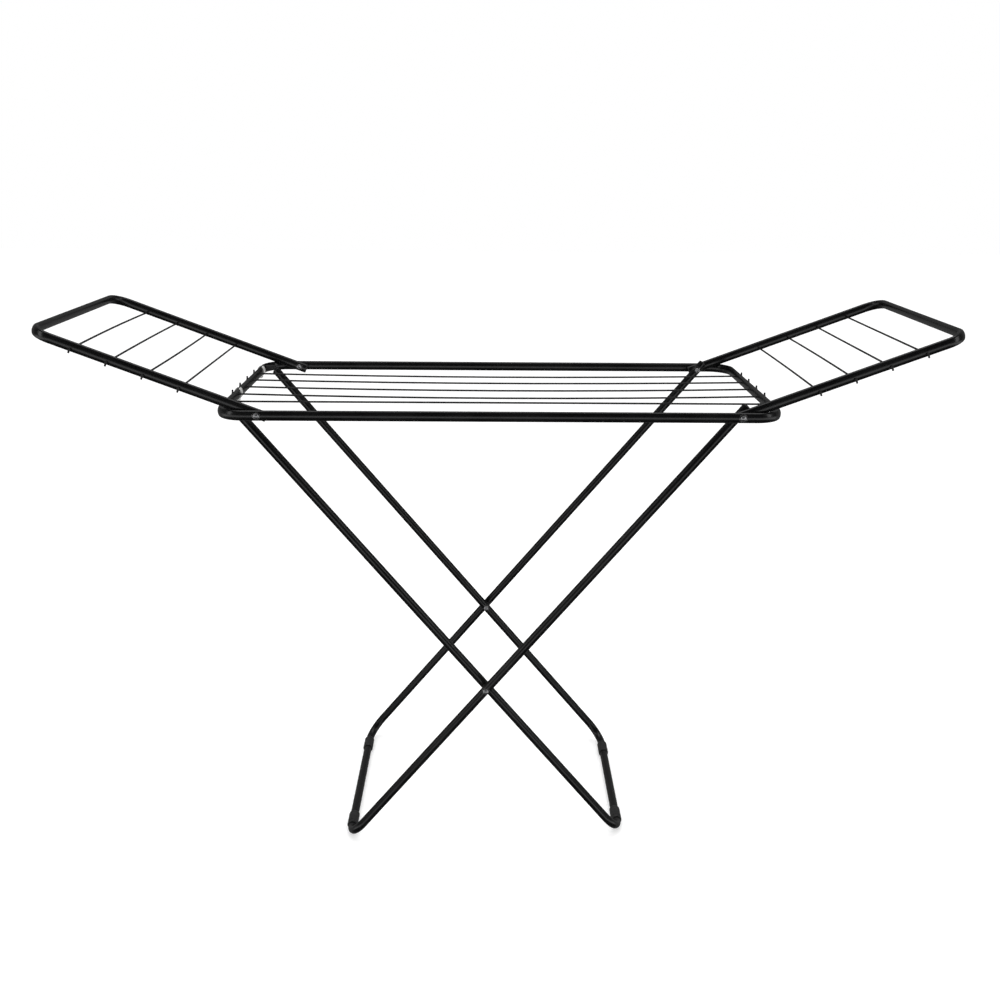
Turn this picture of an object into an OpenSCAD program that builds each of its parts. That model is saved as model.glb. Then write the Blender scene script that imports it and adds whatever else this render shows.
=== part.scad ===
// Winged clothes drying rack: a central frame on folding scissor legs, with a folding wing at each end.
// Millimetres. X runs along the rack, Y from front (-) to back (+), Z up. The origin is on the floor,
// under the middle of the open rack.

/* [Central frame] */
// Height of the rail centres above the floor when open
rail_height = 945; // [900:1:990]
// Length of the central frame, over the outsides of its end rails
frame_length = 1088; // [1040:1:1140]
// Width of the central frame, between the centres of the long rails
frame_depth = 535; // [520:1:600]
// Centre-line radius of the bent corners of the frame
corner_r = 50; // [49:0.5:51]
// Height of the oval tube of frame and wings
oval_h = 20; // [19:0.5:21]
// Width of the oval tube
oval_w = 12; // [11.5:0.1:12.2]
// Radius of the oval tube's top and bottom
oval_end_r = 5; // [4.8:0.1:5.2]
// Wall thickness of all the tubes
wall = 0.9; // [0.7:0.1:1.2]

/* [Lines] */
// Diameter of a plastic-coated drying line
line_d = 3.8; // [3.5:0.1:4]
// Distance between neighbouring lines of the central frame
centre_pitch = 75; // [60:1:75]
// Height of the central lines above the rail centres
centre_line_z = 2; // [0:0.5:3]
// Sag of the central lines, from back to front
centre_sag = [5.5, 5, 6, 6.5, 0]; // [0:0.5:8]
// Distance from the wing pivot to its first line
wing_first = 153; // [140:1:160]
// Distance between neighbouring lines of a wing
wing_pitch = 70; // [60:1:72]
// Depth of the wing lines below the middle of the wing arm
wing_line_drop = 5; // [4:0.5:5]
// Upward bow of the left wing's lines, from the pivot outwards (negative is a sag)
left_bow = [0, -2.5, 2, 3]; // [-4:0.5:4]
// Upward bow of the right wing's lines, from the pivot outwards
right_bow = [2, 2, 0, 0]; // [-4:0.5:4]

/* [Wings] */
// Distance of the wing pivots from the middle of the rack
pivot_x = 461; // [460:0.5:463]
// Length of a wing, from its pivot to the centre of its outer bar
wing_length = 444; // [432:1:450]
// Centre-line radius of the bent corners of a wing
wing_corner_r = 38; // [34:1:50]
// Slope of an open wing, resting on the corners of the frame
wing_angle = 20.5; // [20.5:0.1:21]
// Length of a wing arm behind its pivot
wing_tail = 15; // [12:1:16]

/* [Legs] */
// Diameter of the leg tubes
leg_d = 18; // [17:0.5:18]
// Angle of the open legs to the floor
leg_angle = 50.25; // [50:0.05:50.5]
// Height of the scissor pivots above the floor
scissor_height = 360.4; // [350:0.1:370]
// Length of leg frame A beyond its top pivot
leg_a_stub = 20; // [16:1:22]
// Length of leg frame B from the scissor pivot to its top
leg_b_upper = 757; // [755:1:758]
// Centre-line radius of the bends above the feet
foot_bend_r = 46; // [40:1:50]
// Outer diameter of a foot sleeve
foot_sleeve_d = 23; // [22:0.5:24]
// Length of a foot sleeve
foot_sleeve_len = 44; // [30:1:50]
// Depth of the flat that makes the sole of a foot sleeve
sole_depth = 0.5; // [0.3:0.1:1]

/* [Rivets and washers] */
// Diameter of the rivet shanks
rivet_d = 6; // [5:0.5:6]
// Diameter of the rivet heads
rivet_head_d = 11; // [10:0.5:12]
// Height of a domed rivet head
rivet_head_h = 3; // [2:0.5:3]
// Height of the low inner head of a hinge rivet
inner_head_h = 2.2; // [1.5:0.1:2.4]
// Thickness of the washer between rail and wing arm
rail_washer_t = 1.3; // [1.2:0.1:1.5]
// Thickness of the washer between wing arm and leg frame A
leg_washer_t = 1.2; // [1.1:0.1:1.4]
// Thickness of the spacer between the two legs
scissor_spacer_t = 2.8; // [2.6:0.1:3.2]
// Diameter of the washers and spacers
washer_d = 16; // [14:0.5:18]
// Side clearance next to a part that turns
side_gap = 0.3; // [0.3:0.05:0.4]

/* [Hidden] */
CENTRE_LINES = 5;
WING_LINES = 4;
$fn = 48;

BLACK = [0.05, 0.05, 0.055];
DARK_PLASTIC = [0.1, 0.1, 0.11];
LINE_GREY = [0.16, 0.16, 0.17];
STEEL = [0.75, 0.75, 0.76];
CLIP_GREY = [0.72, 0.72, 0.7];

RUN = 0.06;     // radial clearance of a hole that turns on a rivet
SNUG = 0.02;    // radial clearance of a hole that holds a rivet fast
LINE_HOLE = 0.8; // extra diameter of the holes that the lines pass through
EPS = 1;        // how far a cutting tool runs past a face

// Frame
end_x = frame_length / 2 - oval_w / 2;
rail_y = frame_depth / 2;
line_end_x = frame_length / 2 + 4;
end_boss_len = 4.5;
end_boss_d = 6;
end_pin_d = 4;
centre_end_rise = 8.5;
wing_end_rise = 7.2;
sleeve_len = 90;

// Layers from the rail inwards; the pieces lie side by side and never in one plane
rail_outer_y = rail_y + oval_w / 2;
rail_inner_y = rail_y - oval_w / 2;
arm_outer_y = rail_inner_y - rail_washer_t - side_gap;
arm_y = arm_outer_y - oval_w / 2;
arm_inner_y = arm_y - oval_w / 2;
leg_washer_y = arm_inner_y - side_gap;
leg_a_outer_y = leg_washer_y - leg_washer_t - side_gap;
leg_a_y = leg_a_outer_y - leg_d / 2;
leg_a_inner_y = leg_a_y - leg_d / 2;
inner_head_y = leg_a_inner_y - side_gap;
leg_b_outer_y = leg_a_inner_y - scissor_spacer_t - side_gap;
leg_b_y = leg_b_outer_y - leg_d / 2;
leg_b_inner_y = leg_b_y - leg_d / 2;

// Legs
scissor_x = pivot_x - (rail_height - scissor_height) / tan(leg_angle);
leg_a_upper = (rail_height - scissor_height) / sin(leg_angle);
foot_axis_z = foot_sleeve_d / 2 - sole_depth;
leg_lower = (scissor_height - foot_axis_z) / sin(leg_angle);
seat_gap = 0.7;

// Mirrors its children from the front half to the back half
module both_y() {
    children();
    mirror([0, 1, 0]) children();
}

// Outline of the oval tube, tall along the second axis, reduced all round by inset: two small arcs at
// top and bottom run smoothly into two large ones at the sides
module oval_outline(inset = 0) {
    r = oval_end_r;
    rise = oval_h / 2 - r;
    side_r = (oval_w * oval_w / 4 + rise * rise - r * r) / (oval_w - 2 * r);
    away = side_r - oval_w / 2;
    joint_y = rise + (r - inset) * rise / (side_r - r);
    for (side = [-1, 1]) translate([0, side * rise]) circle(r - inset);
    intersection() {
        translate([away, 0]) circle(side_r - inset, $fn = 180);
        translate([-away, 0]) circle(side_r - inset, $fn = 180);
        square([2 * oval_w, 2 * joint_y], center = true);
    }
}

// Cut face of the oval tube
module oval_ring() {
    difference() {
        oval_outline();
        oval_outline(wall);
    }
}

// Cut face of the round leg tube
module round_ring() {
    difference() {
        circle(d = leg_d);
        circle(d = leg_d - 2 * wall);
    }
}

// U-shaped bend of a tube in the XY plane, whose cut face is the child: two arms at +-half_width
// run from open_x to the bends, and a bar joins them with its centre at bar_x
module bent_u(open_x, bar_x, half_width, bend_r) {
    out = sign(bar_x - open_x);
    arm_len = abs(bar_x - open_x) - bend_r;
    both_y() {
        translate([out > 0 ? open_x : open_x - arm_len, -half_width, 0])
            rotate([90, 0, 90]) linear_extrude(arm_len) children();
        translate([bar_x - out * bend_r, -half_width + bend_r, 0])
            rotate([0, 0, out > 0 ? -90 : 180])
                rotate_extrude(angle = 90) translate([bend_r, 0]) children();
    }
    translate([bar_x, half_width - bend_r, 0])
        rotate([90, 0, 0]) linear_extrude(2 * (half_width - bend_r)) children();
}

// Round bar along X whose middle hangs below its ends by the sag
module sagging_bar(span, sag, d) {
    if (abs(sag) < 0.5) {
        rotate([0, 90, 0]) cylinder(h = span, d = d, center = true);
    } else {
        arc_r = (span * span / 4 + sag * sag) / (2 * abs(sag));
        half = asin(span / 2 / arc_r);
        mirror([0, 0, sag > 0 ? 0 : 1])
            translate([0, 0, arc_r - abs(sag)])
                rotate([90, 0, 0])
                    rotate([0, 0, -90 - half])
                        rotate_extrude(angle = 2 * half, $fn = 1800) translate([arc_r, 0]) circle(d = d, $fn = 32);
    }
}

// Cylinder along -Y that starts at the plane y = start and is len long
module pin_y(start, len, d) {
    translate([0, start, 0]) rotate([90, 0, 0]) cylinder(h = len, d = d);
}

// Domed rivet head on the plane y = base, rising along -Y
module rivet_dome(base, height) {
    base_r = rivet_head_d / 2;
    ball_r = (base_r * base_r + height * height) / (2 * height);
    translate([0, base, 0])
        rotate([90, 0, 0])
            rotate_extrude()
                intersection() {
                    translate([0, height - ball_r]) circle(ball_r, $fn = 96);
                    square([base_r, height]);
                }
}

// Bent end of a line outside a rail, which lies in the plane x = 0: a bored boss along +X and a pin
// that rises from it along +Z to a rounded tip
module line_end(rise) {
    tip_r = end_pin_d / 2;
    difference() {
        union() {
            rotate([0, 90, 0]) cylinder(h = end_boss_len, d = end_boss_d);
            translate([end_boss_len / 2, 0, 0])
                rotate_extrude() {
                    square([tip_r, rise - 0.8]);
                    square([tip_r - 0.8, rise]);
                    translate([tip_r - 0.8, rise - 0.8]) circle(0.8);
                }
        }
        translate([-EPS, 0, 0]) rotate([0, 90, 0]) cylinder(h = end_boss_len - 0.4 + EPS, d = line_d + 0.3);
    }
}

// Frames of reference of the moving assemblies, +X pointing along each of them
module at_left_wing() {
    translate([-pivot_x, 0, rail_height]) mirror([1, 0, 0]) rotate([0, -wing_angle, 0]) children();
}

module at_right_wing() {
    translate([pivot_x, 0, rail_height]) rotate([0, -wing_angle, 0]) children();
}

module at_leg_a() {
    translate([scissor_x, 0, scissor_height]) rotate([0, -leg_angle, 0]) children();
}

module at_leg_b() {
    translate([scissor_x, 0, scissor_height]) rotate([0, leg_angle - 180, 0]) children();
}

function centre_line_y(i) = ((CENTRE_LINES + 1) / 2 - i) * centre_pitch;
function wing_line_x(i) = wing_first + (i - 1) * wing_pitch;

// One U-shaped half of the central frame; side is -1 for the left half and 1 for the right half
module frame_half(side) {
    color(BLACK)
        translate([0, 0, rail_height])
            difference() {
                bent_u(0, side * end_x, rail_y, corner_r) oval_ring();
                for (i = [1 : CENTRE_LINES])
                    translate([side * end_x, centre_line_y(i), centre_line_z])
                        rotate([0, 90, 0]) cylinder(h = oval_w + 2 * EPS, d = line_d + LINE_HOLE, center = true);
                both_y()
                    translate([side * pivot_x, 0, 0])
                        pin_y(-rail_y + oval_w, 2 * oval_w, rivet_d + 2 * SNUG);
            }
}

module frame_left() {
    frame_half(-1);
}

module frame_right() {
    frame_half(1);
}

// Sleeves inside the butt joints of the two frame halves
module frame_sleeves() {
    gap = 0.05;
    color(STEEL)
        both_y()
            translate([-sleeve_len / 2, -rail_y, rail_height])
                rotate([90, 0, 90])
                    linear_extrude(sleeve_len)
                        difference() {
                            oval_outline(wall + gap);
                            oval_outline(2 * wall + gap);
                        }
}

// Line i of the central frame, counted from the back
module centre_line(i) {
    color(LINE_GREY)
        translate([0, centre_line_y(i), rail_height + centre_line_z])
            sagging_bar(2 * line_end_x, centre_sag[i - 1], line_d);
}

module centre_line_ends() {
    color(LINE_GREY)
        for (side = [0, 1], i = [1 : CENTRE_LINES])
            mirror([side, 0, 0])
                translate([frame_length / 2, centre_line_y(i), rail_height + centre_line_z])
                    line_end(centre_end_rise);
}

// Two plastic clips snapped round the left end rail, each with a lug below it
module rail_clips() {
    clip_w = 16;
    clip_t = 1.6;
    lug = 4;
    clip_y = [-57, 192];
    gap = 0.05;
    color(CLIP_GREY)
        for (y = clip_y)
            translate([-end_x, y + clip_w / 2, rail_height])
                rotate([90, 0, 0])
                    linear_extrude(clip_w)
                        difference() {
                            union() {
                                oval_outline(-clip_t - gap);
                                translate([-lug / 2, -oval_h / 2 - clip_t - lug]) square([lug, 2 * lug]);
                            }
                            oval_outline(-gap);
                            translate([-2, oval_h / 2 - clip_t]) square([4, 3 * clip_t]);
                        }
}

// Bent tube of a wing, in the wing's own frame of reference
module wing_tube() {
    color(BLACK)
        difference() {
            bent_u(-wing_tail, wing_length, arm_y, wing_corner_r) oval_ring();
            both_y() {
                pin_y(-arm_y + oval_w, 2 * oval_w, rivet_d + 2 * RUN);
                for (i = [1 : WING_LINES])
                    translate([wing_line_x(i), 0, -wing_line_drop])
                        pin_y(-arm_y + oval_w, 2 * oval_w, line_d + LINE_HOLE);
            }
        }
}

// Line i of a wing, counted from its pivot
module wing_line(i, bow) {
    color(LINE_GREY)
        translate([wing_line_x(i), 0, -wing_line_drop])
            rotate([0, 0, 90]) sagging_bar(2 * (arm_outer_y + 4), -bow[i - 1], line_d);
}

module wing_line_ends() {
    color(LINE_GREY)
        both_y()
            for (i = [1 : WING_LINES])
                translate([wing_line_x(i), -arm_outer_y, -wing_line_drop])
                    rotate([0, 0, -90]) mirror([0, 0, 1]) line_end(wing_end_rise);
}

// Plugs in the open ends of the wing arms
module wing_plugs() {
    plug_depth = 8;
    flange_t = 2;
    color(DARK_PLASTIC)
        both_y()
            translate([-wing_tail, -arm_y, 0]) {
                rotate([90, 0, -90]) linear_extrude(flange_t) oval_outline();
                rotate([90, 0, 90])
                    linear_extrude(plug_depth)
                        difference() {
                            oval_outline(wall + 0.05);
                            oval_outline(wall + 1.5);
                        }
            }
}

module wing_left_tube() {
    at_left_wing() wing_tube();
}

module wing_left_ends() {
    at_left_wing() wing_line_ends();
}

module wing_left_plugs() {
    at_left_wing() wing_plugs();
}

module wing_right_tube() {
    at_right_wing() wing_tube();
}

module wing_right_ends() {
    at_right_wing() wing_line_ends();
}

module wing_right_plugs() {
    at_right_wing() wing_plugs();
}

// Bent tube of a leg frame, in its own frame of reference: top_x is its open upper end, half_width
// the distance of its legs from the middle, and pins the places of its rivet holes and their diameters
module leg_tube(top_x, half_width, pins) {
    color(BLACK)
        difference() {
            bent_u(top_x, -leg_lower, half_width, foot_bend_r) round_ring();
            both_y()
                for (pin = pins)
                    translate([pin[0], 0, 0]) pin_y(-half_width + leg_d, 2 * leg_d, pin[1]);
        }
}

// Foot sleeves round the ends of the crossbar at x, next to the bends, with a flat sole on the floor
module leg_feet(x, half_width) {
    color(DARK_PLASTIC)
        both_y()
            translate([x, -half_width + foot_bend_r + foot_sleeve_len, foot_axis_z])
                rotate([90, 0, 0])
                    difference() {
                        rotate_extrude() foot_sleeve_outline();
                        translate([0, 0, -EPS])
                            cylinder(h = foot_sleeve_len + 2 * EPS, d = leg_d + 0.1);
                        translate([-foot_sleeve_d / 2, -foot_axis_z - foot_sleeve_d, -EPS])
                            cube([foot_sleeve_d, foot_sleeve_d, foot_sleeve_len + 2 * EPS]);
                    }
}

// Half outline of a foot sleeve, with rounded rims
module foot_sleeve_outline() {
    r = foot_sleeve_d / 2;
    rim = 1.5;
    square([r - rim, foot_sleeve_len]);
    translate([0, rim]) square([r, foot_sleeve_len - 2 * rim]);
    for (end = [rim, foot_sleeve_len - rim]) translate([r - rim, end]) circle(rim);
}

// Domed plug for the open top of a leg tube, along +X from the tube's end
module leg_plug() {
    plug_depth = 8;
    dome_h = 3;
    ball_r = (leg_d * leg_d / 4 + dome_h * dome_h) / (2 * dome_h);
    rotate([0, 90, 0])
        rotate_extrude() {
            translate([0, -plug_depth]) square([leg_d / 2 - wall - 0.05, plug_depth]);
            intersection() {
                translate([0, dome_h - ball_r]) circle(ball_r, $fn = 96);
                square([leg_d / 2, dome_h]);
            }
        }
}

module leg_a_tube() {
    holes = [[leg_a_upper, rivet_d + 2 * RUN], [0, rivet_d + 2 * SNUG]];
    at_leg_a() leg_tube(leg_a_upper + leg_a_stub, leg_a_y, holes);
}

module leg_a_feet() {
    leg_feet(scissor_x - leg_lower * cos(leg_angle), leg_a_y);
}

module leg_a_plugs() {
    color(DARK_PLASTIC)
        at_leg_a()
            both_y()
                translate([leg_a_upper + leg_a_stub, -leg_a_y, 0]) leg_plug();
}

module leg_b_tube() {
    at_leg_b() leg_tube(leg_b_upper, leg_b_y, [[0, rivet_d + 2 * RUN]]);
}

module leg_b_feet() {
    leg_feet(scissor_x + leg_lower * cos(leg_angle), leg_b_y);
}

// Seat caps: plugs in the tops of leg frame B, with a nose that bears on the left end rail
module leg_b_seats() {
    nose_w = 10;
    nose_h = 11;
    nose_tip_x = -end_x + oval_w / 2 + seat_gap;
    top_x = scissor_x - leg_b_upper * cos(leg_angle);
    top_z = scissor_height + leg_b_upper * sin(leg_angle);
    color(DARK_PLASTIC)
        both_y() {
            difference() {
                union() {
                    at_leg_b() translate([leg_b_upper, -leg_b_y, 0]) leg_plug();
                    translate([nose_tip_x, -leg_b_y - nose_w / 2, top_z])
                        cube([top_x - nose_tip_x, nose_w, nose_h]);
                }
                at_leg_b()
                    translate([0, -leg_b_y, 0])
                        rotate([0, 90, 0]) cylinder(h = leg_b_upper, d = leg_d + 0.1);
            }
        }
}

// Rivets through rail and wing arm on the left
module left_hinge_rivets() {
    color(STEEL)
        translate([-pivot_x, 0, rail_height])
            both_y() {
                pin_y(-arm_inner_y + side_gap, rail_outer_y - arm_inner_y + side_gap, rivet_d);
                rivet_dome(-rail_outer_y, rivet_head_h);
                mirror([0, 1, 0]) rivet_dome(arm_inner_y - side_gap, inner_head_h);
            }
}

// Rivets through rail, wing arm and leg frame A on the right
module right_hinge_rivets() {
    color(STEEL)
        translate([pivot_x, 0, rail_height])
            both_y() {
                pin_y(-inner_head_y, rail_outer_y - inner_head_y, rivet_d);
                rivet_dome(-rail_outer_y, rivet_head_h);
                mirror([0, 1, 0]) rivet_dome(inner_head_y, inner_head_h);
            }
}

// Washer round a hinge rivet, from the plane y = start outwards
module hinge_washer(start, thickness) {
    difference() {
        pin_y(start, thickness, washer_d);
        pin_y(start + EPS, thickness + 2 * EPS, rivet_d + 2 * SNUG);
    }
}

module left_hinge_washers() {
    color(DARK_PLASTIC)
        translate([-pivot_x, 0, rail_height])
            both_y() hinge_washer(-rail_inner_y + rail_washer_t, rail_washer_t);
}

module right_hinge_washers() {
    color(DARK_PLASTIC)
        translate([pivot_x, 0, rail_height])
            both_y() {
                hinge_washer(-rail_inner_y + rail_washer_t, rail_washer_t);
                hinge_washer(-leg_washer_y + leg_washer_t, leg_washer_t);
            }
}

// Rivets through the two legs where they cross
module scissor_rivets() {
    color(STEEL)
        translate([scissor_x, 0, scissor_height])
            both_y() {
                pin_y(-leg_b_inner_y + side_gap, leg_a_outer_y - leg_b_inner_y + side_gap, rivet_d);
                rivet_dome(-leg_a_outer_y, rivet_head_h);
                mirror([0, 1, 0]) rivet_dome(leg_b_inner_y - side_gap, inner_head_h);
            }
}

module scissor_spacers() {
    color(DARK_PLASTIC)
        translate([scissor_x, 0, scissor_height])
            both_y() hinge_washer(-leg_a_inner_y + scissor_spacer_t, scissor_spacer_t);
}

frame_left();
frame_right();
frame_sleeves();
for (i = [1 : CENTRE_LINES])
    centre_line(i);
centre_line_ends();
rail_clips();
wing_left_tube();
for (i = [1 : WING_LINES])
    at_left_wing() wing_line(i, left_bow);
wing_left_ends();
wing_left_plugs();
wing_right_tube();
for (i = [1 : WING_LINES])
    at_right_wing() wing_line(i, right_bow);
wing_right_ends();
wing_right_plugs();
leg_a_tube();
leg_a_feet();
leg_a_plugs();
leg_b_tube();
leg_b_feet();
leg_b_seats();
left_hinge_rivets();
left_hinge_washers();
right_hinge_rivets();
right_hinge_washers();
scissor_rivets();
scissor_spacers();
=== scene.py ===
"""Winged clothes drying rack: finishes, moulded and riveted details, studio and camera round its CAD frame.

Lengths inside the classes are millimetres, and every object is placed in metres in the rack's own frame of
reference: +X along the rack, +Y from front to back, +Z up, with the origin on the floor under the middle.
"""

import logging
import math
from dataclasses import dataclass, field
from enum import Enum
from typing import Any, Callable, Iterable, Mapping, Sequence

import bmesh
import bpy
from mathutils import Matrix, Vector


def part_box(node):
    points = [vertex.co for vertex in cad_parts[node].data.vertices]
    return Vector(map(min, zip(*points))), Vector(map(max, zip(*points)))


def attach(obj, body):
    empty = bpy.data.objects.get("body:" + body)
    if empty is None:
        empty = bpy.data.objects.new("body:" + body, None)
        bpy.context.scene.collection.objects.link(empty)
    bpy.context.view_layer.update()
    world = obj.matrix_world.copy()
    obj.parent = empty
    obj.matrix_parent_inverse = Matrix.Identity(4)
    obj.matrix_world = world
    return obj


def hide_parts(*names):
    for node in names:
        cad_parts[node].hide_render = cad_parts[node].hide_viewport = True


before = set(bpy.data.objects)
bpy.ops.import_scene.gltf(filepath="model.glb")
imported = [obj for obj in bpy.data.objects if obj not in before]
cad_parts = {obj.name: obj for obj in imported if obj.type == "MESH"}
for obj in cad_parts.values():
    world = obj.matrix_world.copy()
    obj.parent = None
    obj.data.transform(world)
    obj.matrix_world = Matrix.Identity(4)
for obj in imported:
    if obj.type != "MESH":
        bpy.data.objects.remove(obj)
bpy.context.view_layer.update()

MM = 0.001
LOG = logging.getLogger("drying_rack")

Colour = tuple[float, float, float]
Point2 = tuple[float, float]


# ---------------------------------------------------------------------------------------------------------
# Shader expressions
# ---------------------------------------------------------------------------------------------------------


class Socket:
    """An output of a shader node that takes part in Python expressions.

    Arithmetic on values adds Math nodes. Colours go through `blend` and vectors through `stretched`.
    """

    def __init__(self, shader: "ShaderTree", output: bpy.types.NodeSocket) -> None:
        """Wraps one output.

        Args:
            shader: the tree that the output belongs to.
            output: the node's output socket.
        """
        self.shader = shader
        self.output = output

    def _math(self, operation: str, other: Any = None, reflected: bool = False) -> "Socket":
        """Adds a Math node on this value and another.

        Args:
            operation: the Math node's operation.
            other: a number or a Socket, or None where the operation takes one value.
            reflected: whether the other value comes first.

        Returns:
            The Math node's result.
        """
        values = [self] if other is None else [self, other]
        if reflected:
            values.reverse()
        return self.shader.add("ShaderNodeMath", {"operation": operation}, dict(enumerate(values)))

    def __add__(self, other: Any) -> "Socket":
        """self + other."""
        return self._math("ADD", other)

    __radd__ = __add__

    def __sub__(self, other: Any) -> "Socket":
        """self - other."""
        return self._math("SUBTRACT", other)

    def __rsub__(self, other: Any) -> "Socket":
        """other - self."""
        return self._math("SUBTRACT", other, reflected=True)

    def __mul__(self, other: Any) -> "Socket":
        """self * other."""
        return self._math("MULTIPLY", other)

    __rmul__ = __mul__

    def __truediv__(self, other: Any) -> "Socket":
        """self / other."""
        return self._math("DIVIDE", other)

    def __pow__(self, other: Any) -> "Socket":
        """self ** other."""
        return self._math("POWER", other)

    def __abs__(self) -> "Socket":
        """abs(self)."""
        return self._math("ABSOLUTE")

    def sine(self) -> "Socket":
        """Sine of the value in radians."""
        return self._math("SINE")

    def at_most(self, other: Any) -> "Socket":
        """The smaller of the two values."""
        return self._math("MINIMUM", other)

    def at_least(self, other: Any) -> "Socket":
        """The larger of the two values."""
        return self._math("MAXIMUM", other)

    def step(self, low: float, high: float) -> "Socket":
        """Smooth step of the value.

        Args:
            low: the value at which the result is 0.
            high: the value at which the result is 1; it may be below low.

        Returns:
            The result, from 0 to 1.
        """
        if high < low:
            return 1 - self.step(high, low)
        return self.shader.add(
            "ShaderNodeMapRange",
            {"interpolation_type": "SMOOTHSTEP"},
            {"Value": self, "From Min": low, "From Max": high},
        )

    def blend(self, low: Any, high: Any) -> "Socket":
        """Colour that goes from low to high as this value goes from 0 to 1.

        Args:
            low: a colour, or a Socket that carries one.
            high: the same.

        Returns:
            The mixed colour.
        """
        return self.shader.add("ShaderNodeMix", {"data_type": "RGBA"}, {0: self, 6: low, 7: high}, 2)

    def axis(self, name: str) -> "Socket":
        """The X, Y or Z of this vector."""
        return self.shader.add("ShaderNodeSeparateXYZ", {}, {0: self}, name)

    def stretched(self, factors: Colour) -> "Socket":
        """This vector with each coordinate multiplied by its factor."""
        return self.shader.add("ShaderNodeVectorMath", {"operation": "MULTIPLY"}, {0: self, 1: factors})


class ShaderTree:
    """A material's or world's node tree, filled through one method."""

    def __init__(self, owner: bpy.types.Material | bpy.types.World) -> None:
        """Starts an empty tree.

        Args:
            owner: the material or world whose nodes are made anew.
        """
        owner.use_nodes = True
        self.tree = owner.node_tree
        self.tree.nodes.clear()

    def add(
        self,
        kind: str,
        settings: Mapping[str, Any] | None = None,
        sockets: Mapping[Any, Any] | None = None,
        result: Any = 0,
    ) -> Socket:
        """Adds a node.

        Args:
            kind: the node's type.
            settings: the node's own settings, set before its sockets.
            sockets: a number, colour or Socket for each input, by name or place.
            result: the name or place of the output that is wanted.

        Returns:
            That output.
        """
        node = self.tree.nodes.new(kind)
        for name, value in (settings or {}).items():
            setattr(node, name, value)
        for name, value in (sockets or {}).items():
            if isinstance(value, Socket):
                self.tree.links.new(value.output, node.inputs[name])
            elif isinstance(value, tuple) and len(node.inputs[name].default_value) == 4:
                node.inputs[name].default_value = (*value, 1.0)
            else:
                node.inputs[name].default_value = value
        return Socket(self, node.outputs[result] if len(node.outputs) else None)

    def place(self) -> Socket:
        """Coordinates of the piece itself, in metres, which move with it."""
        return self.add("ShaderNodeTexCoord", result="Object")

    def noise(self, at: Socket, grain_mm: float, detail: float = 2.0, roughness: float = 0.5) -> Socket:
        """Cloudy noise from 0 to 1.

        Args:
            at: the coordinates.
            grain_mm: the size of its largest features.
            detail: how many finer layers it has.
            roughness: how strong these are.

        Returns:
            The noise value.
        """
        sockets = {"Vector": at, "Scale": 1 / (grain_mm * MM), "Detail": detail, "Roughness": roughness}
        return self.add("ShaderNodeTexNoise", {}, sockets, 0)

    def relief(self, height: Socket, depth_mm: float, over: Socket | None = None) -> Socket:
        """Bumped normal.

        Args:
            height: the height, from 0 to 1.
            depth_mm: how far 1 stands above 0.
            over: a normal that this one is laid over.

        Returns:
            The normal.
        """
        sockets: dict[str, Any] = {"Strength": 1.0, "Distance": depth_mm * MM, "Height": height}
        if over is not None:
            sockets["Normal"] = over
        return self.add("ShaderNodeBump", {}, sockets)

    def surface(self, **sockets: Any) -> None:
        """Ends a material in a Principled shader; an underscore in a name stands for a space."""
        shader = self.add("ShaderNodeBsdfPrincipled", {}, {k.replace("_", " "): v for k, v in sockets.items()})
        self.add("ShaderNodeOutputMaterial", {}, {"Surface": shader})


# ---------------------------------------------------------------------------------------------------------
# Finishes
# ---------------------------------------------------------------------------------------------------------


class Run(Enum):
    """The direction in which a line was drawn through its die."""

    ALONG_RACK = (25.0, 1.0, 1.0)
    ACROSS_RACK = (1.0, 25.0, 1.0)


def new_shader(name: str) -> tuple[bpy.types.Material, ShaderTree]:
    """Makes a material.

    Args:
        name: its name.

    Returns:
        The material and its empty tree.
    """
    material = bpy.data.materials.new(name)
    return material, ShaderTree(material)


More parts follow.
